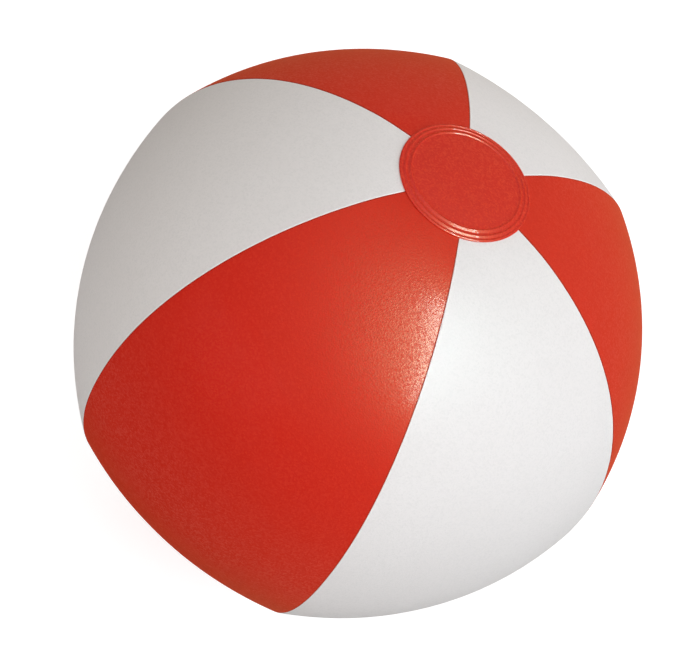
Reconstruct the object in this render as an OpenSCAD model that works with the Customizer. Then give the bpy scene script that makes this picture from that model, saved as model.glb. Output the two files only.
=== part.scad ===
// Inflatable beach ball, standing on its lower cap.
// Six vinyl panels are welded edge to edge with their hems turned inside, a ribbed disc closes each
// pole, and one white panel carries a push-in valve with its stopper, strap and one-way flap.
// Origin: middle of the flat that the ball stands on. +Z runs up through both poles.

/* [Ball] */
// Width across two opposite panels at the equator
ball_w = 256; // [200:1:400]
// Height between the poles, before the lower pole is pressed flat
ball_h = 245; // [190:1:380]
// Fullness of the meridian: 2 is an ellipse, more is squarer
meridian_power = 2.15; // [2:0.01:2.4]
// How far behind the ball's axis each panel's cross arc is centred: more makes the seams prouder
panel_arch = 40.5; // [0:0.5:100]
// Distance over which the arch builds up, measured outwards from the caps
arch_run = 14; // [6:1:60]
// Thickness of the vinyl film
skin_t = 0.25; // [0.2:0.05:0.6]
// Width of the welded hem that each panel turns inside along its seams
hem_w = 4; // [2:0.5:8]

/* [Caps] */
// Diameter of each polar cap
cap_d = 60.7; // [45:0.1:90]
// Thickness of the cap's vinyl
cap_t = 0.5; // [0.35:0.05:1]
// Distance from the cap's rim to the middle of the outer rib
rib_inset = 2.4; // [1.8:0.1:4]
// Distance between the two ribs
rib_pitch = 2.5; // [2:0.1:4]
// Width of a rib at its foot
rib_w = 1.8; // [0.8:0.1:2]
// Height of a rib above the cap's face
rib_height = 0.4; // [0.1:0.05:0.6]
// Height of the bead along the cap's rim above its face
bead_height = 0.2; // [0.05:0.05:0.3]
// How far the lower cap's inner rib stays above the ground
rest_clear = 0.2; // [0.1:0.05:1]

/* [Valve] */
// Height of the valve below the equator
valve_drop = 50; // [20:1:70]
// Bore of the stem at its mouth, where the stopper's plug seals it
stem_bore_d = 5.8; // [4.5:0.1:7.5]
// How much smaller the bore is below the plug, where a pump's nozzle seats
nozzle_step = 0.6; // [0.2:0.1:1]
// Wall of the stem
stem_wall = 1.3; // [0.8:0.1:2]
// Length of the stem
stem_len = 10.5; // [8:0.5:16]
// How far the stem's lip and its foot stand out from the stem
stem_rim = 0.6; // [0.3:0.1:1.2]
// How far the stopper's head reaches past the stem's lip
head_overhang = 0.4; // [0:0.1:1]
// Thickness of the stopper's head
head_t = 1.2; // [0.8:0.1:1.8]
// Depth of the head's face below the skin while the valve is pushed in
head_recess = 0.3; // [0:0.1:2]
// Length of the stopper's plug
plug_len = 3.5; // [2:0.1:4.5]
// Length of the tab that lifts the stopper
tab_len = 1.4; // [0.8:0.1:2]
// Width of the stopper's strap and tab
strap_w = 3; // [2:0.1:4]
// Thickness of the strap
strap_t = 0.5; // [0.3:0.1:0.8]
// Radius of the strap's fold, to the middle of its thickness
fold_r = 0.7; // [0.5:0.05:1.2]
// Length of the strap's two legs beyond the stopper's head
leg_len = 1.5; // [1:0.1:3]
// Room between the strap's fold and the edge of the panel's hole
hole_room = 2.3; // [1.5:0.1:4]
// Width of the weld flange inside the panel, outside the hole
flange_w = 4.5; // [3:0.5:8]
// Thickness of the weld flange at its edge
flange_t = 0.8; // [0.5:0.1:1.5]
// Thickness of the rolling web between flange and stem
web_t = 0.4; // [0.3:0.1:0.8]
// Thickness of the one-way flap
flap_t = 0.3; // [0.2:0.05:0.5]
// Clearance between the valve's moving pieces
fit_gap = 0.1; // [0.05:0.01:0.15]
// Clearance under the curved skin, for welded pieces of another curve
weld_gap = 0.3; // [0.2:0.05:0.4]

/* [Hidden] */

RED = "#c92b23";
WHITE = "#e9e8e6";
$fn = 96;

panel_count = 6;
half_gore = 180 / panel_count;    // half of the angle that one panel covers
valve_panel = 4;
across_steps = 10;                // facets across a panel
along_steps = 38;                 // facets along a panel

ball_r = ball_w / 2;
half_h = ball_h / 2;

cap_r = cap_d / 2;
rib_radii = [cap_r - rib_inset - rib_pitch, cap_r - rib_inset];
field_r = rib_radii[0] - rib_w / 2;           // the plain field inside the ribs
rest_r = meridian_r(meridian_z(rib_radii[0]) + rib_height + rest_clear);   // the flat that the ball stands on
panel_tip_r = (rest_r + field_r) / 2;         // the panels end here, under the caps
centre_z = meridian_z(rest_r) + cap_t;        // height of the ball's centre

// ---- Shape of the skin ----

function smooth(x) = let (c = min(1, max(0, x))) c * c * (3 - 2 * c);

// The meridian along the middle of a panel: radius from height and height from radius
function meridian_r(z) = ball_r * pow(1 - pow(abs(z) / half_h, meridian_power), 1 / meridian_power);
function meridian_z(r) = half_h * pow(1 - pow(r / ball_r, meridian_power), 1 / meridian_power);

// Point [radius, height] of the meridian at the running angle a, which is 90 at the upper pole
function meridian(a) = [
    ball_r * pow(cos(a), 2 / meridian_power),
    sign(a) * half_h * pow(abs(sin(a)), 2 / meridian_power)
];

// Outward unit normal [radial, upward] of the meridian at a point [radius, height]
function meridian_normal(p) =
    let (
        radial = pow(p[0] / ball_r, meridian_power - 1) / ball_r,
        upward = sign(p[1]) * pow(abs(p[1]) / half_h, meridian_power - 1) / half_h
    )
    [radial, upward] / norm([radial, upward]);

// How far behind the axis the cross arc is centred where the panel's middle is at radius r
function arch_at(r) = panel_arch * smooth((r - cap_r) / arch_run);

// Radius at the angle psi off the panel's middle, on an arc centred the distance arch behind the axis
function cross_r(r, arch, psi) = -arch * cos(psi) + sqrt(pow(r + arch, 2) - pow(arch * sin(psi), 2));

// ---- Panels ----

// Points across a panel at one height, from the angle -reach to reach off its middle
function skin_arc(p, arch, reach) = [
    for (i = [0 : across_steps])
        let (psi = reach * (2 * i / across_steps - 1), r = cross_r(p[0], arch, psi))
        [r * cos(psi), r * sin(psi), p[1]]
];

// A hem's inner edge, given as [radius, height] on the seam: its outer and its inner corner
function hem_corners(edge, side) =
    let (corner = [edge[0] * cos(half_gore), side * edge[0] * sin(half_gore), edge[1]])
    [corner, corner + skin_t * [sin(half_gore), -side * cos(half_gore), 0]];

function reversed(list) = [for (i = [len(list) - 1 : -1 : 0]) list[i]];

// Closed outline of a panel at the running angle a: skin outside, hem, skin inside, hem
function panel_section(a) =
    let (
        outer = meridian(a),
        normal = meridian_normal(outer),
        inner = outer - skin_t * normal,
        arch = arch_at(outer[0]),
        hem_edge = [cross_r(outer[0], arch, half_gore), outer[1]] - hem_w * normal,
        inner_reach = half_gore - asin(skin_t / cross_r(inner[0], arch, half_gore))
    )
    concat(
        skin_arc(outer, arch, half_gore),
        hem_corners(hem_edge, 1),
        reversed(skin_arc(inner, arch, inner_reach)),
        reversed(hem_corners(hem_edge, -1))
    );

// Quads that close a panel's section: strips between the two faces of the skin, and the two hems
function section_quads() =
    let (m = across_steps, inside = m + 3, last = 2 * m + 5)
    concat(
        [for (k = [0 : m - 1]) [k, k + 1, inside + m - k - 1, inside + m - k]],
        [[m, m + 1, m + 2, inside], [0, inside + m, last - 1, last]]
    );

// A solid through a row of sections, with quads that close the first section and the last one
module loft(sections, quads) {
    width = len(sections[0]);
    rows = len(sections);
    last_row = (rows - 1) * width;
    sides = [
        for (i = [0 : rows - 2], j = [0 : width - 1])
            let (a = i * width + j, b = i * width + (j + 1) % width)
            each [[a, b, b + width], [a, b + width, a + width]]
    ];
    first_end = [for (q = quads) each [[q[2], q[1], q[0]], [q[3], q[2], q[0]]]];
    last_end = [for (t = first_end) reversed(t) + last_row * [1, 1, 1]];
    polyhedron([for (s = sections) each s], concat(first_end, sides, last_end), convexity = 6);
}

// Panel 1 faces -Y and the others follow anticlockwise seen from above
function panel_angle(number) = -90 + (number - 1) * 360 / panel_count;

module panel_body(number) {
    tip_angle = acos(pow(panel_tip_r / ball_r, meridian_power / 2));
    translate([0, 0, centre_z])
    rotate([0, 0, panel_angle(number)])
    loft([for (i = [0 : along_steps]) panel_section(tip_angle * (1 - 2 * i / along_steps))], section_quads());
}

module red_panel(number) {
    color(RED)
    panel_body(number);
}

module white_panel(number) {
    color(WHITE)
    difference() {
        panel_body(number);
        if (number == valve_panel) at_valve() cylinder(r = hole_r, h = hole_r, center = true);
    }
}

// ---- Caps ----

// Height of the ribs at radius r
function rib_rise(r) = rib_height * max([
    for (c = rib_radii) let (x = min(1, abs(r - c) / (rib_w / 2))) pow(1 - x * x, 2)
]);

// Half section of a cap that lies on the skin and is flat inside flat_r, with a round bead for its rim
module cap_profile(flat_r) {
    bead_r = (cap_t + bead_height) / 2;
    bead_mid = [cap_r - bead_r, seat_z(cap_r - bead_r, flat_r) + bead_r];
    bead_start = 180 - asin((cap_t - bead_r) / bead_r);
    field = flat_r > 0 ? [0, flat_r, panel_tip_r] : [for (i = [0 : 6]) i * panel_tip_r / 6];
    ribs = [for (i = [0 : 20]) field_r + i * (rib_pitch + rib_w) / 20];
    polygon(concat(
        [for (r = concat(field, ribs)) [r, seat_z(r, flat_r) + cap_t + rib_rise(r)]],
        [for (i = [0 : 8]) let (a = bead_start - i * (bead_start + 60) / 8) bead_mid + bead_r * [cos(a), sin(a)]],
        [for (r = reversed(concat(field, ribs, [bead_mid[0]]))) [r, seat_z(r, flat_r)]]
    ));
}

// Height of the skin that a cap lies on, pressed flat inside flat_r
function seat_z(r, flat_r) = meridian_z(max(r, flat_r));

module cap(flat_r) {
    color(RED)
    rotate_extrude()
    cap_profile(flat_r);
}

module top_cap() {
    translate([0, 0, centre_z])
    cap(0);
}

module bottom_cap() {
    translate([0, 0, centre_z])
    mirror([0, 0, 1])
    cap(rest_r);
}

// ---- Valve ----
// Heights run along the valve's axis: 0 is the outside of the skin and less is deeper in the ball.

valve_r = meridian_r(valve_drop);
valve_normal = meridian_normal([valve_r, -valve_drop]);
valve_tilt = atan2(-valve_normal[1], valve_normal[0]);   // how far the axis points below level

stem_r = stem_bore_d / 2 + stem_wall;
nozzle_r = (stem_bore_d - nozzle_step) / 2;
rim_r = stem_r + stem_rim;                       // radius of the stem's lip and foot
head_r = rim_r + head_overhang;
hinge_x = head_r + leg_len;                      // the stopper flips about a line this far off the axis
hole_r = hinge_x + fold_r + strap_t / 2 + hole_room;

head_z = -head_recess - head_t;                  // underside of the stopper's head
mouth_z = head_z - fit_gap;                      // the stem's mouth
hinge_z = head_z + strap_t / 2 - fold_r;         // the strap's upper leg is level with the head's underside
lip_t = mouth_z - (hinge_z - fold_r - strap_t);  // the lip is deep enough to carry the lower leg
plug_tip_z = head_z - plug_len;
foot_z = mouth_z - stem_len;
foot_t = 0.9;

flange_r = hole_r + flange_w;
flange_show = 0.8;                               // width of the flange that shows inside the panel's hole
flange_bore_r = hole_r - flange_show;

// Radius of the skin's curve at the valve, from the turn of its normal across the flange
skin_curve_r =
    let (
        above = [meridian_r(valve_drop - flange_r), flange_r - valve_drop],
        below = [meridian_r(valve_drop + flange_r), -flange_r - valve_drop],
        turn = acos(meridian_normal(above) * meridian_normal(below))
    )
    norm(above - below) / (2 * sin(turn / 2));

// Height of a seat that follows the skin's inside at the radius r from the valve's axis
function dished(r) = -skin_t - weld_gap - (skin_curve_r - sqrt(pow(skin_curve_r, 2) - r * r));
flange_z = dished(flange_r) - flange_t;          // the flange's flat underside

// Places its children with +Z along the valve's axis, out of the ball, and +X down the panel
module at_valve() {
    translate([0, 0, centre_z])
    rotate([0, 0, panel_angle(valve_panel)])
    translate([valve_r, 0, -valve_drop])
    rotate([0, 90 + valve_tilt, 0])
    children();
}

module disc(r, low, high) {
    translate([0, 0, low])
    cylinder(r = r, h = high - low);
}

// Ring with a dished seat for the skin and a flat underside for the web
module valve_flange() {
    seat = [for (i = [0 : 4]) let (r = flange_bore_r + i * (flange_r - flange_bore_r) / 4) [r, dished(r)]];
    color(WHITE)
    at_valve()
    rotate_extrude()
    polygon(concat(seat, [[flange_r, flange_z], [flange_bore_r, flange_z]]));
}

// Thin cone from the flange down to the stem's foot, which rolls inside out when the stem is pulled
module valve_web() {
    top_z = flange_z;
    low_z = foot_z + foot_t;
    color(WHITE)
    at_valve()
    rotate_extrude()
    polygon([[flange_bore_r, top_z], [flange_bore_r + web_t, top_z], [rim_r, low_z], [rim_r - web_t, low_z]]);
}

// Tube with a foot that carries the web and a lip that carries the stopper's strap
module valve_stem() {
    color(WHITE)
    at_valve()
    difference() {
        union() {
            disc(stem_r, foot_z, mouth_z);
            disc(rim_r, foot_z, foot_z + foot_t);
            disc(rim_r, mouth_z - lip_t, mouth_z);
        }
        disc(stem_bore_d / 2, plug_tip_z - 2 * fit_gap, mouth_z + 1);
        disc(nozzle_r, foot_z - 1, mouth_z);
    }
}

// Thin strip folded back on itself: the lower leg leaves the stem's lip and the upper leg the head
module stopper_strap() {
    outer_r = fold_r + strap_t / 2;
    inner_r = fold_r - strap_t / 2;
    lower_len = hinge_x - rim_r - fit_gap / 2;
    upper_len = hinge_x - head_r - fit_gap / 2;
    color(WHITE)
    at_valve()
    translate([-hinge_x, strap_w / 2, hinge_z])
    rotate([90, 0, 0])
    linear_extrude(strap_w)
    union() {
        difference() {
            circle(r = outer_r);
            circle(r = inner_r);
            translate([0, -outer_r]) square(2 * outer_r);
        }
        translate([0, -outer_r]) square([lower_len, strap_t]);
        translate([0, inner_r]) square([upper_len, strap_t]);
    }
}

// Head with a lifting tab, over a plug that seals the stem's bore
// The plug narrows just enough for its tip to swing clear of the far side of the bore
module stopper() {
    root_r = stem_bore_d / 2 - fit_gap;
    tip_r = sqrt(pow(hinge_x + root_r, 2) - pow(hinge_z - plug_tip_z, 2)) - hinge_x;
    color(WHITE)
    at_valve()
    union() {
        disc(head_r, head_z, head_z + head_t);
        translate([0, 0, plug_tip_z]) cylinder(r1 = tip_r, r2 = root_r, h = plug_len);
        translate([0, -strap_w / 2, head_z]) cube([head_r + tab_len, strap_w, head_t]);
    }
}

// Film disc over the stem's inner end that lets air in but not out, hung from a bead on its upper edge
module check_flap() {
    flap_lap = 0.8;               // how far the disc reaches past the bore that it covers
    flap_r = nozzle_r + flap_lap;
    bead_x = rim_r - flap_t;
    mid_z = foot_z - fit_gap - flap_t / 2;
    color(WHITE)
    at_valve()
    union() {
        disc(flap_r, mid_z - flap_t / 2, mid_z + flap_t / 2);
        translate([-bead_x, -strap_w / 2, mid_z - flap_t / 2]) cube([bead_x, strap_w, flap_t]);
        translate([-bead_x, strap_w / 2, mid_z]) rotate([90, 0, 0]) cylinder(d = flap_t, h = strap_w);
    }
}

red_panel(1);  // panel_1_red
white_panel(2);  // panel_2_white
red_panel(3);  // panel_3_red
white_panel(4);  // panel_4_white
red_panel(5);  // panel_5_red
white_panel(6);  // panel_6_white
top_cap();
bottom_cap();
valve_flange();
valve_web();
valve_stem();
stopper_strap();
stopper();
check_flap();
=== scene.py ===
"""Inflatable beach ball: six vinyl panels, two ribbed caps and a push-in valve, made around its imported
model."""
import math

import bmesh
import bpy
from mathutils import Matrix, Vector, noise


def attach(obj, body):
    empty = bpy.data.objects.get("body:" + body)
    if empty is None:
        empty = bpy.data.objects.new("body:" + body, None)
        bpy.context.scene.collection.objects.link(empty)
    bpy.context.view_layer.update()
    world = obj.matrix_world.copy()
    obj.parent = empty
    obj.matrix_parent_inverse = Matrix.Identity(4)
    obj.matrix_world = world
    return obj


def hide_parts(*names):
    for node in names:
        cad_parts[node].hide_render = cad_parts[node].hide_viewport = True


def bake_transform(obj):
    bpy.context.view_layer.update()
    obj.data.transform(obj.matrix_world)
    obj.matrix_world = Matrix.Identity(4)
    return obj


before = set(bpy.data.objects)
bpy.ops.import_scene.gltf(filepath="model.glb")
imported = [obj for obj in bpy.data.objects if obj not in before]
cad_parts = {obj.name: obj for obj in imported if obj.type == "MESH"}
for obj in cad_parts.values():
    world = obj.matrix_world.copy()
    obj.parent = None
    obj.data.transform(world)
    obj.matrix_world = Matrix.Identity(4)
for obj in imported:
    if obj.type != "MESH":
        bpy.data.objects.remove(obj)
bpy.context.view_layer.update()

MM = 0.001

# The ball's sizes, as the part has them
BALL_R = 128 * MM
HALF_HEIGHT = 122.5 * MM
FULLNESS = 2.15
ARCH = 40.5 * MM
ARCH_RUN = 14 * MM
SKIN_T = 0.25 * MM
HEM_W = 4 * MM
PANELS = 6
HALF_GORE = math.pi / PANELS
WELD_W = 0.75 * MM

# The caps' sizes
CAP_R = 30.35 * MM
CAP_T = 0.5 * MM
RIB_RADII = (25.45 * MM, 27.95 * MM)
RIB_W = 1.8 * MM
RIB_HEIGHT = 0.4 * MM
BEAD_R = 0.36 * MM
REST_CLEAR = 0.2 * MM
FIELD_R = RIB_RADII[0] - RIB_W / 2

# The valve's sizes; its heights run along its axis, and 0 is the outside of the skin
VALVE_DROP = 50 * MM
BORE_R = 2.9 * MM
NOZZLE_R = 2.6 * MM
STEM_R = 4.2 * MM
RIM_R = 4.8 * MM
HEAD_R = 5.2 * MM
HINGE_X = 6.7 * MM
FOLD_R = 0.7 * MM
HOLE_R = 9.95 * MM
FLANGE_BORE_R = 9.15 * MM
FLANGE_R = 14.45 * MM
HEAD_Z = -1.5 * MM
HEAD_T = 1.2 * MM
MOUTH_Z = -1.6 * MM
LIP_T = 1.55 * MM
HINGE_Z = -1.95 * MM
PLUG_TIP_Z = -5 * MM
FOOT_Z = -12.1 * MM
FOOT_T = 0.9 * MM
FLANGE_T = 0.8 * MM
WEB_T = 0.4 * MM
STRAP_W = 3 * MM
STRAP_T = 0.5 * MM
TAB_LEN = 1.4 * MM


# ---- Shape of the skin ----

def smooth(x):
    """0 below 0, 1 above 1, and a soft S between."""
    c = min(1, max(0, x))
    return c * c * (3 - 2 * c)


def meridian_height(radius):
    """Height of the ball's meridian over its middle, at a radius from its axis."""
    return HALF_HEIGHT * (1 - (radius / BALL_R) ** FULLNESS) ** (1 / FULLNESS)


def meridian_radius(height):
    """Radius of the ball's meridian, at a height over its middle."""
    return BALL_R * (1 - abs(height / HALF_HEIGHT) ** FULLNESS) ** (1 / FULLNESS)


def meridian_normal(radius, height):
    """Outward unit normal of the meridian, as (radial, upward)."""
    radial = (radius / BALL_R) ** (FULLNESS - 1) / BALL_R
    upward = math.copysign(abs(height / HALF_HEIGHT) ** (FULLNESS - 1) / HALF_HEIGHT, height)
    length = math.hypot(radial, upward)
    return radial / length, upward / length


# The ball stands on its lower cap inside REST_R, and the panels end under the caps at PANEL_TIP_R
REST_R = meridian_radius(meridian_height(RIB_RADII[0]) + RIB_HEIGHT + REST_CLEAR)
PANEL_TIP_R = (REST_R + FIELD_R) / 2
CENTRE_Z = meridian_height(REST_R) + CAP_T


def panel_point(turn, psi):
    """Place on a panel that faces +X, at a running angle up its meridian and an angle off its middle."""
    radius = BALL_R * math.cos(turn) ** (2 / FULLNESS)
    height = math.copysign(HALF_HEIGHT * abs(math.sin(turn)) ** (2 / FULLNESS), turn)
    arch = ARCH * smooth((radius - CAP_R) / ARCH_RUN)
    reach = math.sqrt((radius + arch) ** 2 - (arch * math.sin(psi)) ** 2) - arch * math.cos(psi)
    return Vector((reach * math.cos(psi), reach * math.sin(psi), CENTRE_Z + height))


def valve_place():
    """Where the valve sits: its own Z axis points out of the skin, square to it."""
    radius = meridian_radius(VALVE_DROP)
    out, up = meridian_normal(radius, -VALVE_DROP)
    return (
        Matrix.Translation((0, radius, CENTRE_Z - VALVE_DROP))
        @ Matrix.Rotation(math.pi / 2, 4, "Z")
        @ Matrix.Rotation(math.pi / 2 + math.atan2(-up, out), 4, "Y")
    )


VALVE_PLACE = valve_place()


# ---- Modelling by hand ----

MERGE_GAP = 0.002 * MM


def deselect():
    """Clears the selection of objects."""
    bpy.ops.object.select_all(action="DESELECT")


def pick(obj):
    """Makes a piece the active one, with nothing else selected."""
    deselect()
    bpy.context.view_layer.objects.active = obj
    obj.select_set(True)


def edit(obj):
    """Opens a piece for editing with nothing else selected, and returns its mesh."""
    pick(obj)
    bpy.ops.object.mode_set(mode="EDIT")
    return bmesh.from_edit_mesh(obj.data)


def close_edit(obj):
    """Ends the editing of a piece and hands it back."""
    bpy.ops.object.mode_set(mode="OBJECT")
    return obj


def select(mesh, parts, wanted):
    """Selects the verts, edges or faces of a mesh that pass a test."""
    bpy.ops.mesh.select_all(action="DESELECT")
    for part in parts:
        if wanted(part):
            part.select_set(True)
    mesh.select_flush_mode()


def apply_modifier(obj, kind, **settings):
    """Adds a modifier to a piece and applies it."""
    pick(obj)
    modifier = obj.modifiers.new(kind.title(), kind)
    for name, value in settings.items():
        setattr(modifier, name, value)
    bpy.ops.object.modifier_apply(modifier=modifier.name)


def soften(obj, degrees=35):
    """Shades a piece smooth across edges of less than the angle."""
    pick(obj)
    bpy.ops.object.shade_smooth_by_angle(angle=math.radians(degrees))


def chain(name, points):
    """A chain of edges through points of the XZ plane, extruded one after another from the first. It is
    left open for editing."""
    deselect()
    (x, z), rest = points[0], points[1:]
    bpy.ops.mesh.primitive_plane_add(size=MM, location=(x, 0, z))
    obj = bpy.context.object
    obj.name = obj.data.name = name
    bpy.ops.object.transform_apply(location=True)
    bpy.ops.object.mode_set(mode="EDIT")
    bpy.ops.mesh.merge(type="CENTER")
    for next_x, next_z in rest:
        step = (next_x - x, 0, next_z - z)
        bpy.ops.mesh.extrude_vertices_move(TRANSFORM_OT_translate={"value": step})
        x, z = next_x, next_z
    bpy.ops.mesh.select_all(action="SELECT")
    return obj


def tidy_skin():
    """Merges the doubles of the mesh that is open for editing and turns its faces outwards."""
    bpy.ops.mesh.select_all(action="SELECT")
    bpy.ops.mesh.remove_doubles(threshold=MERGE_GAP)
    bpy.ops.mesh.normals_make_consistent(inside=False)


def turned(name, profile, steps=64):
    """A closed piece turned about the Z axis from a profile of (radius, height) points."""
    obj = chain(name, profile)
    bpy.ops.mesh.spin(steps=steps, angle=2 * math.pi, center=(0, 0, 0), axis=(0, 0, 1))
    tidy_skin()
    return close_edit(obj)


def copied(obj, name, place):
    """A copy with its own mesh, moved by a matrix."""
    twin = obj.copy()
    twin.data = obj.data.copy()
    twin.name = twin.data.name = name
    bpy.context.scene.collection.objects.link(twin)
    twin.data.transform(place)
    return twin


# ---- Materials ----

CLOUD_SCALE = 28
DIMPLE_SCALE = 1400
FILM_IOR = 1.35
WHITE = (1, 1, 1, 1)
WARM_GLOSS = (1, 0.78, 0.42, 1)
WARM_SHEEN = (1, 0.7, 0.25, 1)
SHEEN_WEIGHT = 0.13
SHEEN_ROUGHNESS = 0.5

# How much each of these adds to the film's roughness
SLANT_DULLING = 0.8
CLOUD_DULLING = 0.08
DIMPLE_DULLING = 0.36
WELD_DULLING = 0.3


class Wire:
    """A socket that sums can be written with: each operator adds its Math node."""

    def __init__(self, tree, socket):
        self.tree = tree
        self.socket = socket

    def maths(self, operation, *values):
        """The result of one Math node."""
        sockets = dict(enumerate(values))
        return Bench(self.tree).node("ShaderNodeMath", {"operation": operation}, sockets)

    def __add__(self, other):
        return self.maths("ADD", self, other)

    def __radd__(self, other):
        return self.maths("ADD", other, self)

    def __sub__(self, other):
        return self.maths("SUBTRACT", self, other)

    def __rsub__(self, other):
        return self.maths("SUBTRACT", other, self)

    def __mul__(self, other):
        return self.maths("MULTIPLY", self, other)

    def __rmul__(self, other):
        return self.maths("MULTIPLY", other, self)

    def __pow__(self, other):
        return self.maths("POWER", self, other)

    def __abs__(self):
        return self.maths("ABSOLUTE", self)


class Bench:
    """Adds nodes to a material's tree."""

    def __init__(self, tree):
        self.tree = tree

    def node(self, kind, settings=None, sockets=None, output=0):
        """One node: its type, its settings, then the values or wires of its sockets."""
        made = self.tree.nodes.new(kind)
        for name, value in (settings or {}).items():
            setattr(made, name, value)
        for name, value in (sockets or {}).items():
            if isinstance(value, Wire):
                self.tree.links.new(value.socket, made.inputs[name])
            else:
                made.inputs[name].default_value = value
        return Wire(self.tree, made.outputs[output]) if made.outputs else None

    def outputs(self, wire, *names):
        """Further outputs of the node that a wire comes from."""
        return [Wire(self.tree, wire.socket.node.outputs[name]) for name in names]

    def mix(self, amount, first, second):
        """Two colours mixed."""
        sockets = {0: amount, 6: first, 7: second}
        return self.node("ShaderNodeMix", {"data_type": "RGBA"}, sockets, output=2)


def linear(code):
    """A colour written as six hex digits, in the shader's linear values."""
    channels = [int(code[i:i + 2], 16) / 255 for i in (0, 2, 4)]
    curve = [c / 12.92 if c <= 0.04045 else ((c + 0.055) / 1.055) ** 2.4 for c in channels]
    return (*curve, 1)


def new_material(name):
    """An empty material, and the bench for its nodes."""
    material = bpy.data.materials.new(name)
    material.use_nodes = True
    material.node_tree.nodes.clear()
    return material, Bench(material.node_tree)


def vinyl(
    name, colour, cloudy, speck, roughness, grain,
    gloss=0.3, polish=(0, 0, 0.2, 1.4), warm=False, weld_tone_and_groove_shade=None,
):
    """Embossed vinyl film: fine dimples, each polished and coloured a little otherwise than the next, and
    a faint cloudiness in its colour. Seen at a slant the film is duller.

    cloudy and speck are the colours of the clouds and of the brightest dimples, and grain is the dimples'
    depth in millimetres. polish is the least and most weight, the roughness and the IOR of the film's
    coat. A warm film's wide gloss is orange. The last argument is the colour of the pressed line along a
    seam: on the red film a darker red, which is painted shade of the seam's groove, and on the white film
    a paler white."""
    least_coat, most_coat, coat_roughness, coat_ior = polish
    material, bench = new_material(name)
    place = bench.node("ShaderNodeTexCoord", output=3)
    slant = bench.node("ShaderNodeLayerWeight", None, {"Blend": 0.5}, output=1)
    clouds = bench.node(
        "ShaderNodeTexNoise", None, {"Vector": place, "Scale": CLOUD_SCALE, "Detail": 3, "Roughness": 0.6}
    )
    dimples = bench.node("ShaderNodeTexVoronoi", None, {"Vector": place, "Scale": DIMPLE_SCALE})
    depth, chance = bench.outputs(dimples, "Distance", "Color")
    glint = bench.node("ShaderNodeSeparateXYZ", None, {"Vector": chance})
    bump = bench.node("ShaderNodeBump", None, {"Strength": 1, "Distance": grain * MM, "Height": depth})
    shade = bench.mix(clouds, linear(cloudy), linear(colour))
    shade = bench.mix(glint ** 2, shade, linear(speck))
    shine = (1 - slant) ** 3 * (glint * (most_coat - least_coat) + least_coat)
    dull = roughness + slant ** 2 * SLANT_DULLING
    dull = dull + (clouds - 0.5) * CLOUD_DULLING + (0.5 - glint) * DIMPLE_DULLING
    # On this line the red film's colour is darkened as painted shade of the seam's groove; the lost coat
    # and the added roughness are the welded band's duller gloss.
    if weld_tone_and_groove_shade:
        pressed = weld_line(bench, place)
        shade = bench.mix(pressed, shade, linear(weld_tone_and_groove_shade))
        shine = shine * (1 - pressed)
        dull = dull + pressed * WELD_DULLING
    surface = bench.node("ShaderNodeBsdfPrincipled", None, {
        "Base Color": shade,
        "Roughness": dull,
        "IOR": FILM_IOR,
        "Specular IOR Level": gloss,
        "Specular Tint": WARM_GLOSS if warm else WHITE,
        "Sheen Weight": SHEEN_WEIGHT if warm else 0,
        "Sheen Roughness": SHEEN_ROUGHNESS,
        "Sheen Tint": WARM_SHEEN,
        "Coat Weight": shine,
        "Coat Roughness": coat_roughness,
        "Coat IOR": coat_ior,
        "Normal": bump,
    })
    bench.node("ShaderNodeOutputMaterial", None, {"Surface": surface})
    return material


def weld_line(bench, place):
    """1 on the pressed line beside each of the ball's seams, 0 off it. The red film's colour on this line
    is painted shade of the seam's groove.
    """
    split = bench.node("ShaderNodeSeparateXYZ", None, {"Vector": place})
    x, y = bench.outputs(split, "X", "Y")
    sweep = y.maths("ARCTAN2", y, x) * (PANELS / 2)
    off_seam = abs(sweep.maths("SINE", sweep)) * (x ** 2 + y ** 2) ** 0.5 * (2 / PANELS)
    sockets = {"Value": off_seam, "From Min": WELD_W, "From Max": WELD_W / 2}
    return bench.node("ShaderNodeMapRange", None, sockets)


# The red film's darker seam-line colour is painted shade of the seam's groove.
RED_VINYL = vinyl(
    "red embossed vinyl", "d2150a", cloudy="cd1309", speck="d52310", roughness=0.46, grain=0.05,
    gloss=0.2, polish=(0.12, 0.56, 0.16, 1.4), warm=True, weld_tone_and_groove_shade="a80c04",
)
WHITE_VINYL = vinyl(
    "white embossed vinyl", "f1eeee", cloudy="eeeaea", speck="eae7e7", roughness=0.45, grain=0.04,
    gloss=0.1, weld_tone_and_groove_shade="f8f7f7",
)
CAP_VINYL = vinyl(
    "red cap vinyl", "d21107", cloudy="cd0f06", speck="dc3418", roughness=0.4, grain=0.04,
    gloss=0.15, polish=(0.65, 0.9, 0.08, 1.5), warm=True,
)
VALVE_VINYL = vinyl(
    "soft white valve vinyl", "e9e7e3", cloudy="e3e0db", speck="e6e3df", roughness=0.38, grain=0.02
)
FLAP_FILM = vinyl(
    "valve flap film", "dddbd6", cloudy="d7d4ce", speck="d9d6d0", roughness=0.35, grain=0.02
)


def finish_piece(obj, material, body, replaced):
    """Gives a piece its material, hides the imported node that it replaces, and fixes it to its body. A
    piece that bends between bodies has no body here."""
    obj.data.materials.clear()
    obj.data.materials.append(material)
    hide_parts(replaced)
    if body:
        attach(obj, body)


# ---- Panels ----

PANEL_RINGS = 180
PANEL_COLUMNS = 32
VALVE_PANEL = 4
SEAM_ROUND = 0.35 * MM
SEAM_MARGIN = 0.001

# The skin's shallow unevenness: its height, its spacing, and the angle over which it fades out at a seam
SLACK = 0.07 * MM
SLACK_SPACING = 26 * MM
SLACK_FADE = 0.06

# Degrees, and less than one step of a seam's fold, so that the fold doesn't tilt the skin's shading
SKIN_SMOOTH = 9


def seam_place(vert):
    """Angle off the panel's middle of a vertex."""
    return abs(math.atan2(vert.co.y, vert.co.x))


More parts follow.
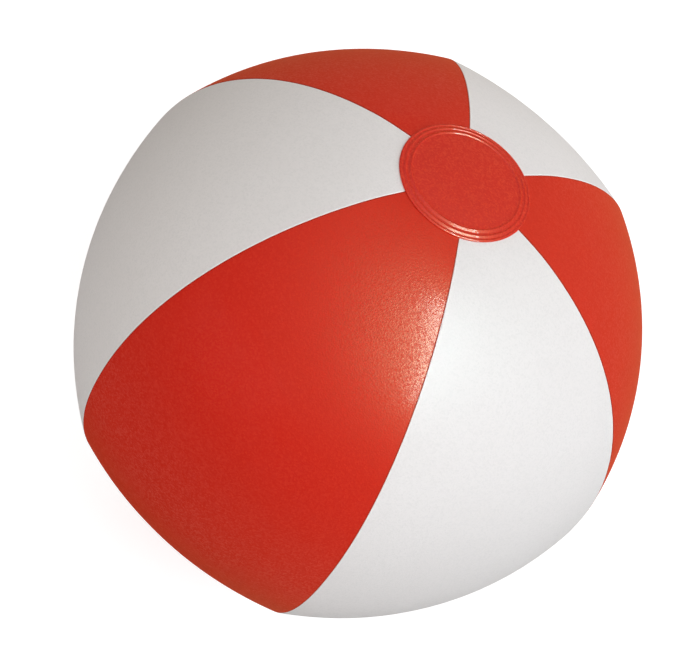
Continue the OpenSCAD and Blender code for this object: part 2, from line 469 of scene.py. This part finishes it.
def make_panel():
    """One panel that faces +X: half a circle spun through the gore's angle, drawn out to the ball's
    shape, with its seam edges turned inside as hems, rounded, and given the film's thickness."""
    deselect()
    bpy.ops.mesh.primitive_circle_add(
        vertices=2 * PANEL_RINGS, radius=BALL_R, rotation=(math.pi / 2, 0, HALF_GORE)
    )
    obj = bpy.context.object
    bpy.ops.object.transform_apply(rotation=True)
    edit(obj)
    tip = BALL_R * math.sin(math.acos((PANEL_TIP_R / BALL_R) ** (FULLNESS / 2)))
    for place, normal in (
        ((0, 0, 0), (math.cos(HALF_GORE), math.sin(HALF_GORE), 0)),
        ((0, 0, tip), (0, 0, -1)),
        ((0, 0, -tip), (0, 0, 1)),
    ):
        bpy.ops.mesh.select_all(action="SELECT")
        bpy.ops.mesh.bisect(plane_co=place, plane_no=normal, clear_inner=True)
    bpy.ops.mesh.select_all(action="SELECT")
    bpy.ops.mesh.spin(steps=PANEL_COLUMNS, angle=2 * HALF_GORE, center=(0, 0, 0), axis=(0, 0, 1))
    tidy_skin()
    mesh = bmesh.from_edit_mesh(obj.data)
    for vert in mesh.verts:
        x, y, z = vert.co
        psi = math.atan2(y, x)
        vert.co = panel_point(math.atan2(z, math.hypot(x, y)), psi)
        ease = smooth((HALF_GORE - abs(psi)) / SLACK_FADE)
        outward = Vector((vert.co.x, vert.co.y, vert.co.z - CENTRE_Z)).normalized()
        vert.co += outward * SLACK * ease * noise.noise(vert.co / SLACK_SPACING)
    mesh.normal_update()
    if sum(face.normal.x for face in mesh.faces) < 0:
        bpy.ops.mesh.select_all(action="SELECT")
        bpy.ops.mesh.flip_normals()
    fold_hems(obj)
    close_edit(obj)
    apply_modifier(obj, "SOLIDIFY", thickness=SKIN_T, offset=-1)
    soften(obj, SKIN_SMOOTH)
    return obj


def fold_hems(obj):
    """Turns the long edges of the panel that is open for editing inside as hems, and rounds the folds."""
    mesh = bmesh.from_edit_mesh(obj.data)
    skin_verts = len(mesh.verts)
    at_seam = HALF_GORE - SEAM_MARGIN

    def seam_edge(edge):
        return all(vert.index < skin_verts and seam_place(vert) > at_seam for vert in edge.verts)

    mesh.verts.index_update()
    select(mesh, mesh.edges, seam_edge)
    bpy.ops.mesh.extrude_edges_move(TRANSFORM_OT_translate={"value": (0, 0, 0)})
    mesh = bmesh.from_edit_mesh(obj.data)
    mesh.verts.index_update()
    for vert in mesh.verts:
        if vert.index >= skin_verts:
            height = vert.co.z - CENTRE_Z
            around = math.atan2(vert.co.y, vert.co.x)
            radial, upward = meridian_normal(meridian_radius(height), height)
            outward = Vector((radial * math.cos(around), radial * math.sin(around), upward))
            vert.co -= HEM_W * outward
    mesh.normal_update()
    select(mesh, mesh.edges, seam_edge)
    bpy.ops.mesh.bevel(offset=SEAM_ROUND, segments=4, affect="EDGES", clamp_overlap=True)


def cut_valve_hole(panel):
    """Cuts the round hole for the valve through a panel."""
    deselect()
    bpy.ops.mesh.primitive_cylinder_add(vertices=96, radius=HOLE_R, depth=2 * HOLE_R)
    cutter = bpy.context.object
    cutter.data.transform(VALVE_PLACE)
    apply_modifier(panel, "BOOLEAN", operation="DIFFERENCE", solver="EXACT", object=cutter)
    bpy.data.objects.remove(cutter)
    soften(panel, SKIN_SMOOTH)


def make_panels():
    """The six panels, red and white in turn: copies of one, turned about the ball's axis."""
    pattern = make_panel()
    for number in range(1, PANELS + 1):
        colour, film = ("red", RED_VINYL) if number % 2 else ("white", WHITE_VINYL)
        turn = math.radians((number - 1) * 360 / PANELS - 90)
        panel = copied(pattern, f"{colour}_panel_{number}", Matrix.Rotation(turn, 4, "Z"))
        if number == VALVE_PANEL:
            cut_valve_hole(panel)
        finish_piece(panel, film, "ball", f"panel_{number}_{colour}")
    bpy.data.objects.remove(pattern)


# ---- Caps ----

CAP_STEPS = 160
FIELD_STEPS = 12
RIB_STEPS = 44
RIB_STEP = 0.1 * MM
UNDER_STRIDE = 6
BEAD_STEPS = 12
RIB_FOOT_W = 0.8 * MM
INNER_FLANK = math.radians(42)
OUTER_FLANKS = (math.radians(33), math.radians(24))
FLANK_ROUND = 0.11 * MM
BEAD_SLOPE = math.radians(24)
BEAD_SLOPE_W = 0.4 * MM
BEAD_UNDERCUT = math.radians(150)


def rib_rise(radius):
    """Height of the ribs over the crowned face: a steep flank towards the pole, a slow one away from it,
    and a rounded crest and feet."""
    def sharp(r):
        return max(
            min(
                (r - middle + RIB_FOOT_W) * math.tan(INNER_FLANK),
                (middle + RIB_FOOT_W - r) * math.tan(flank),
            )
            for middle, flank in zip(RIB_RADII, OUTER_FLANKS)
        )

    places = [radius + i * FLANK_ROUND for i in range(-2, 3)]
    return sum(max(0, sharp(place)) for place in places) / len(places)


def cap_profile(flat_r):
    """Half section of a cap on the skin, pressed flat inside flat_r: its face with two ribs, its round
    bead, and its underside."""
    def seat(radius):
        return meridian_height(max(radius, flat_r))

    field = [FIELD_R * i / FIELD_STEPS for i in range(FIELD_STEPS)]
    ribs = [FIELD_R + i * RIB_STEP for i in range(RIB_STEPS)]
    mid_r, mid_z = CAP_R - BEAD_R, seat(CAP_R - BEAD_R) + BEAD_R
    rim = []
    for i in range(BEAD_STEPS + 1):
        a = math.pi / 2 + INNER_FLANK - i * (BEAD_UNDERCUT + INNER_FLANK) / BEAD_STEPS
        back = BEAD_SLOPE_W if a > math.pi / 2 - BEAD_SLOPE else 0
        rim.append((
            mid_r - back * math.cos(BEAD_SLOPE) + BEAD_R * math.cos(a),
            mid_z + back * math.sin(BEAD_SLOPE) + BEAD_R * math.sin(a),
        ))
    foot_r = rim[0][0] - (rim[0][1] - mid_z + BEAD_R - CAP_T) / math.tan(INNER_FLANK)
    face = [(r, seat(r) + CAP_T + rib_rise(r)) for r in field + ribs]
    foot = [(foot_r, seat(foot_r) + CAP_T)]
    under = [(r, seat(r)) for r in reversed(field + ribs[::UNDER_STRIDE])]
    return face + foot + rim + under


def make_caps():
    """The cap on each pole."""
    middle = Matrix.Translation((0, 0, CENTRE_Z))
    upper = turned("ribbed_upper_cap", cap_profile(0), CAP_STEPS)
    upper.data.transform(middle)
    lower = turned("ribbed_lower_cap", cap_profile(REST_R), CAP_STEPS)
    lower.data.transform(middle @ Matrix.Rotation(math.pi, 4, "X"))
    for cap, node in ((upper, "top_cap"), (lower, "bottom_cap")):
        soften(cap, 50)
        finish_piece(cap, CAP_VINYL, "ball", node)


# ---- Valve ----

FACE_DROP = 0.55 * MM
EDGE_ROUND = 0.15 * MM
FINE_EDGE_ROUND = 0.12 * MM
STRAP_EDGE_ROUND = 0.1 * MM

FLANGE_STEPS = 6
WEB_STEPS = 12
NOZZLE_DROP = 0.2 * MM

# The strap's rolled eye, in degrees round the hinge's line, and the narrower arm that leaves it
EYE_START = -90
EYE_TURN = 290
EYE_STEPS = 20
ARM_ROOT = (130, 110, 90)
ARM_W = STRAP_W - 0.2 * MM
ARM_T = STRAP_T - 0.1 * MM

# The stopper: its dished face, the plug's clearance at its root, and the tab's spare angle
DISH_DEPTH = 0.35 * MM
DISH_FLAT_R = 2.9 * MM
DISH_EDGE_R = 3.6 * MM
PLUG_CLEAR = 0.1 * MM
TAB_SPARE = 0.01


def seat_curve():
    """Radius of the skin's curve at the valve."""
    above, below = VALVE_DROP - FLANGE_R, VALVE_DROP + FLANGE_R
    first = meridian_radius(above), -above
    second = meridian_radius(below), -below
    turn = sum(a * b for a, b in zip(meridian_normal(*first), meridian_normal(*second)))
    return math.dist(first, second) / (2 * math.sin(math.acos(turn) / 2))


SEAT_CURVE = seat_curve()


def dished(radius):
    """Height of the flange's face, which follows the inside of the skin."""
    return -FACE_DROP - (SEAT_CURVE - math.sqrt(SEAT_CURVE ** 2 - radius ** 2))


FLANGE_Z = dished(FLANGE_R) - FLANGE_T


def place_valve_piece(obj, edge=EDGE_ROUND):
    """Rounds the piece's edges and moves it to its place in the ball."""
    if edge:
        apply_modifier(
            obj, "BEVEL", width=edge, segments=3, limit_method="ANGLE", angle_limit=math.radians(40)
        )
    obj.data.transform(VALVE_PLACE)
    soften(obj)
    return obj


def make_flange():
    """Ring that is welded to the inside of the panel."""
    width = FLANGE_R - FLANGE_BORE_R
    steps = [FLANGE_BORE_R + i * width / FLANGE_STEPS for i in range(FLANGE_STEPS + 1)]
    seat = [(r, dished(r)) for r in steps]
    profile = seat + [(FLANGE_R, FLANGE_Z), (FLANGE_BORE_R, FLANGE_Z), seat[0]]
    return place_valve_piece(turned("valve_flange_ring", profile, 96), FINE_EDGE_ROUND)


def make_web():
    """Thin cone that rolls inside out when the stem is pulled."""
    top, low = FLANGE_Z, FOOT_Z + FOOT_T
    outer, inner = [], []
    for i in range(WEB_STEPS + 1):
        along = i / WEB_STEPS
        radius = FLANGE_BORE_R + (RIM_R - WEB_T - FLANGE_BORE_R) * along
        height = top + (low - top) * along
        outer.append((radius + WEB_T, height))
        inner.append((radius, height))
    profile = outer + inner[::-1] + outer[:1]
    web = place_valve_piece(turned("valve_web_sleeve", profile), 0)
    finish_piece(web, VALVE_VINYL, None, "valve_web")
    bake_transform(web)


def make_stem():
    """Tube with a lip at its mouth and a foot at its inner end, and the narrower nozzle seat inside."""
    step_z = PLUG_TIP_Z - NOZZLE_DROP
    profile = [
        (BORE_R, MOUTH_Z), (RIM_R, MOUTH_Z), (RIM_R, MOUTH_Z - LIP_T), (STEM_R, MOUTH_Z - LIP_T),
        (STEM_R, FOOT_Z + FOOT_T), (RIM_R, FOOT_Z + FOOT_T), (RIM_R, FOOT_Z), (NOZZLE_R, FOOT_Z),
        (NOZZLE_R, step_z), (BORE_R, step_z), (BORE_R, MOUTH_Z),
    ]
    return place_valve_piece(turned("valve_stem_tube", profile), FINE_EDGE_ROUND)


def strap_strip(name, path, width, thickness):
    """Strip that follows a path of (x, z) points of the valve."""
    strip = chain(name, path)
    bpy.ops.mesh.extrude_edges_move(TRANSFORM_OT_translate={"value": (0, width, 0)})
    bpy.ops.mesh.select_all(action="SELECT")
    bpy.ops.transform.translate(value=(0, -width / 2, 0))
    bpy.ops.mesh.normals_make_consistent(inside=False)
    close_edit(strip)
    apply_modifier(strip, "SOLIDIFY", thickness=thickness, offset=0)
    return place_valve_piece(strip, STRAP_EDGE_ROUND)


def make_strap():
    """The stopper's strap: a strip from the stem's lip that is rolled into an eye on the hinge's line,
    and a strip from the eye to the stopper's head."""
    def on_eye(degrees):
        turn = math.radians(degrees)
        return -HINGE_X + FOLD_R * math.cos(turn), HINGE_Z + FOLD_R * math.sin(turn)

    roll = [on_eye(EYE_START - i * EYE_TURN / EYE_STEPS) for i in range(EYE_STEPS + 1)]
    path = [(-RIM_R, HINGE_Z - FOLD_R)] + roll
    foot = strap_strip("stopper_strap_foot", path, STRAP_W, STRAP_T)
    finish_piece(foot, VALVE_VINYL, "stem", "stopper_strap")
    path = [on_eye(degrees) for degrees in ARM_ROOT] + [(-HEAD_R, HINGE_Z + FOLD_R)]
    arm = strap_strip("stopper_strap_arm", path, ARM_W, ARM_T)
    finish_piece(arm, VALVE_VINYL, "stopper", "stopper_strap")


def make_stopper():
    """Head with a dished face and a lifting tab, over the plug."""
    root_r = BORE_R - PLUG_CLEAR
    tip_r = math.sqrt((HINGE_X + root_r) ** 2 - (HINGE_Z - PLUG_TIP_Z) ** 2) - HINGE_X
    top = HEAD_Z + HEAD_T
    profile = [
        (0, top - DISH_DEPTH), (DISH_FLAT_R, top - DISH_DEPTH), (DISH_EDGE_R, top), (HEAD_R, top),
        (HEAD_R, HEAD_Z), (root_r, HEAD_Z), (tip_r, PLUG_TIP_Z), (0, PLUG_TIP_Z),
    ]
    stopper = turned("stopper_plug", profile)
    mesh = edit(stopper)
    tab_side = math.asin(STRAP_W / 2 / HEAD_R) + TAB_SPARE

    def faces_tab(face):
        middle = face.calc_center_median()
        outer = math.hypot(middle.x, middle.y) > HEAD_R * 0.98
        upright = abs(face.normal.z) < 0.1
        return outer and upright and abs(math.atan2(middle.y, middle.x)) < tab_side

    select(mesh, mesh.faces, faces_tab)
    bpy.ops.mesh.extrude_region_move(TRANSFORM_OT_translate={"value": (TAB_LEN, 0, 0)})
    mesh = bmesh.from_edit_mesh(stopper.data)
    for vert in mesh.verts:
        if vert.select:
            vert.co.x = HEAD_R + TAB_LEN
    close_edit(stopper)
    return place_valve_piece(stopper)


def make_valve():
    """The valve's pieces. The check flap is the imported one."""
    finish_piece(make_flange(), VALVE_VINYL, "ball", "valve_flange")
    finish_piece(make_stem(), VALVE_VINYL, "stem", "valve_stem")
    finish_piece(make_stopper(), VALVE_VINYL, "stopper", "stopper")
    make_web()
    make_strap()
    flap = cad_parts["check_flap"]
    flap.data.materials.clear()
    flap.data.materials.append(FLAP_FILM)


# ---- Studio ----

BALL_MIDDLE = Vector((0, 0, CENTRE_Z))
FLOOR_GREY = (0.42, 0.42, 0.42, 1)
FLOOR_GLOW = 0.85
SKY_COLOUR = (1, 0.935, 0.84, 1)
SKY_LEVEL = 0.38


def direction(azimuth, elevation):
    """Unit vector towards a compass place round the ball: azimuth 0 is -Y and 90 is +X."""
    a, e = math.radians(azimuth), math.radians(elevation)
    return Vector((math.sin(a) * math.cos(e), -math.cos(a) * math.cos(e), math.sin(e)))


def make_camera():
    """A long lens from above the front, rolled so that the poles lean. It stands off by distance, moved
    aside by shift_across and shift_up."""
    azimuth, elevation, roll = 7.86, 49.71, math.radians(35.29)
    distance, shift_across, shift_up = 1.28187, -6.89 * MM, -1.59 * MM
    back = direction(azimuth, elevation)
    level = direction(azimuth + 90, 0)
    across = math.cos(roll) * level + math.sin(roll) * back.cross(level)
    upward = back.cross(across)
    data = bpy.data.cameras.new("camera")
    data.sensor_width = 36
    data.lens = 147.24
    camera = bpy.data.objects.new("camera", data)
    bpy.context.scene.collection.objects.link(camera)
    camera.rotation_euler = Matrix((across, upward, back)).transposed().to_euler()
    camera.location = BALL_MIDDLE + distance * back + shift_across * across + shift_up * upward
    bpy.context.scene.camera = camera


def make_lamp(name, place, distance, size, level, colour, aside=0, lights=True, shines=True):
    """A soft box that looks at the ball, or past it when it is moved aside. place is its azimuth and
    elevation, and level is how bright it makes a white surface that faces it. A lamp that doesn't light
    shows in the gloss alone, and one that doesn't shine shows in the colours alone."""
    data = bpy.data.lights.new(name, "AREA")
    data.shape = "RECTANGLE"
    data.size, data.size_y = size
    data.energy = level * math.pi ** 2 * distance ** 2
    data.color = colour
    lamp = bpy.data.objects.new(name, data)
    bpy.context.scene.collection.objects.link(lamp)
    toward = direction(*place)
    sideways = direction(place[0] + 90, 0)
    lamp.location = BALL_MIDDLE + distance * toward + aside * sideways
    lamp.rotation_euler = toward.to_track_quat("Z", "Y").to_euler()
    lamp.visible_diffuse = lights
    lamp.visible_glossy = shines


def seen_directly(bench):
    """1 for the rays that see the backdrop: from the camera, in a gloss and through glass."""
    rays = bench.node("ShaderNodeLightPath")
    camera, gloss, glass = bench.outputs(rays, "Is Camera Ray", "Is Glossy Ray", "Is Transmission Ray")
    return camera + gloss + glass


def make_floor():
    """A wide pale floor that keeps the ball's shadow and is clear from below."""
    deselect()
    bpy.ops.mesh.primitive_circle_add(vertices=64, radius=30, fill_type="NGON")
    floor = bpy.context.object
    floor.name = "studio_floor"
    material, bench = new_material("pale studio floor")
    matte = bench.node("ShaderNodeBsdfDiffuse", None, {"Color": FLOOR_GREY})
    strength = seen_directly(bench) * FLOOR_GLOW
    glow = bench.node("ShaderNodeEmission", None, {"Color": WHITE, "Strength": strength})
    lit = bench.node("ShaderNodeAddShader", None, {0: matte, 1: glow})
    clear = bench.node("ShaderNodeBsdfTransparent")
    back = bench.node("ShaderNodeNewGeometry", output=6)
    sided = bench.node("ShaderNodeMixShader", None, {0: back, 1: lit, 2: clear})
    bench.node("ShaderNodeOutputMaterial", None, {"Surface": sided})
    floor.data.materials.append(material)


def make_world():
    """A soft warm light from all round, and a white backdrop."""
    world = bpy.data.worlds.new("studio")
    world.use_nodes = True
    bpy.context.scene.world = world
    tree = world.node_tree
    tree.nodes.clear()
    bench = Bench(tree)
    light = bench.node("ShaderNodeBackground", None, {"Color": SKY_COLOUR, "Strength": SKY_LEVEL})
    backdrop = bench.node("ShaderNodeBackground", None, {"Color": WHITE, "Strength": 1})
    seen = bench.node("ShaderNodeMixShader", None, {0: seen_directly(bench), 1: light, 2: backdrop})
    bench.node("ShaderNodeOutputWorld", None, {"Surface": seen})


make_camera()
make_panels()
make_caps()
make_valve()
make_floor()
make_world()
make_lamp("key", (30, 62), 1.6, (0.9, 1.16), 0.435, (0.91, 0.95, 1), aside=0.45, shines=False)
make_lamp("key_gloss", (30, 62), 1.6, (0.8, 1.2), 11, (0.74, 1, 0.95), aside=0.53, lights=False)
make_lamp("side", (85, 30), 1.6, (0.9, 0.9), 0.3, (0.91, 0.96, 1), shines=False)
make_lamp("front", (-20, 5), 1.8, (1.2, 0.9), 0.31, (0.99, 0.98, 0.98), shines=False)
make_lamp("back", (-165, 16), 1.6, (0.9, 0.8), 0.22, (1, 0.97, 0.95), shines=False)

bpy.context.scene.view_settings.view_transform = "Standard"

bpy.context.view_layer.update()
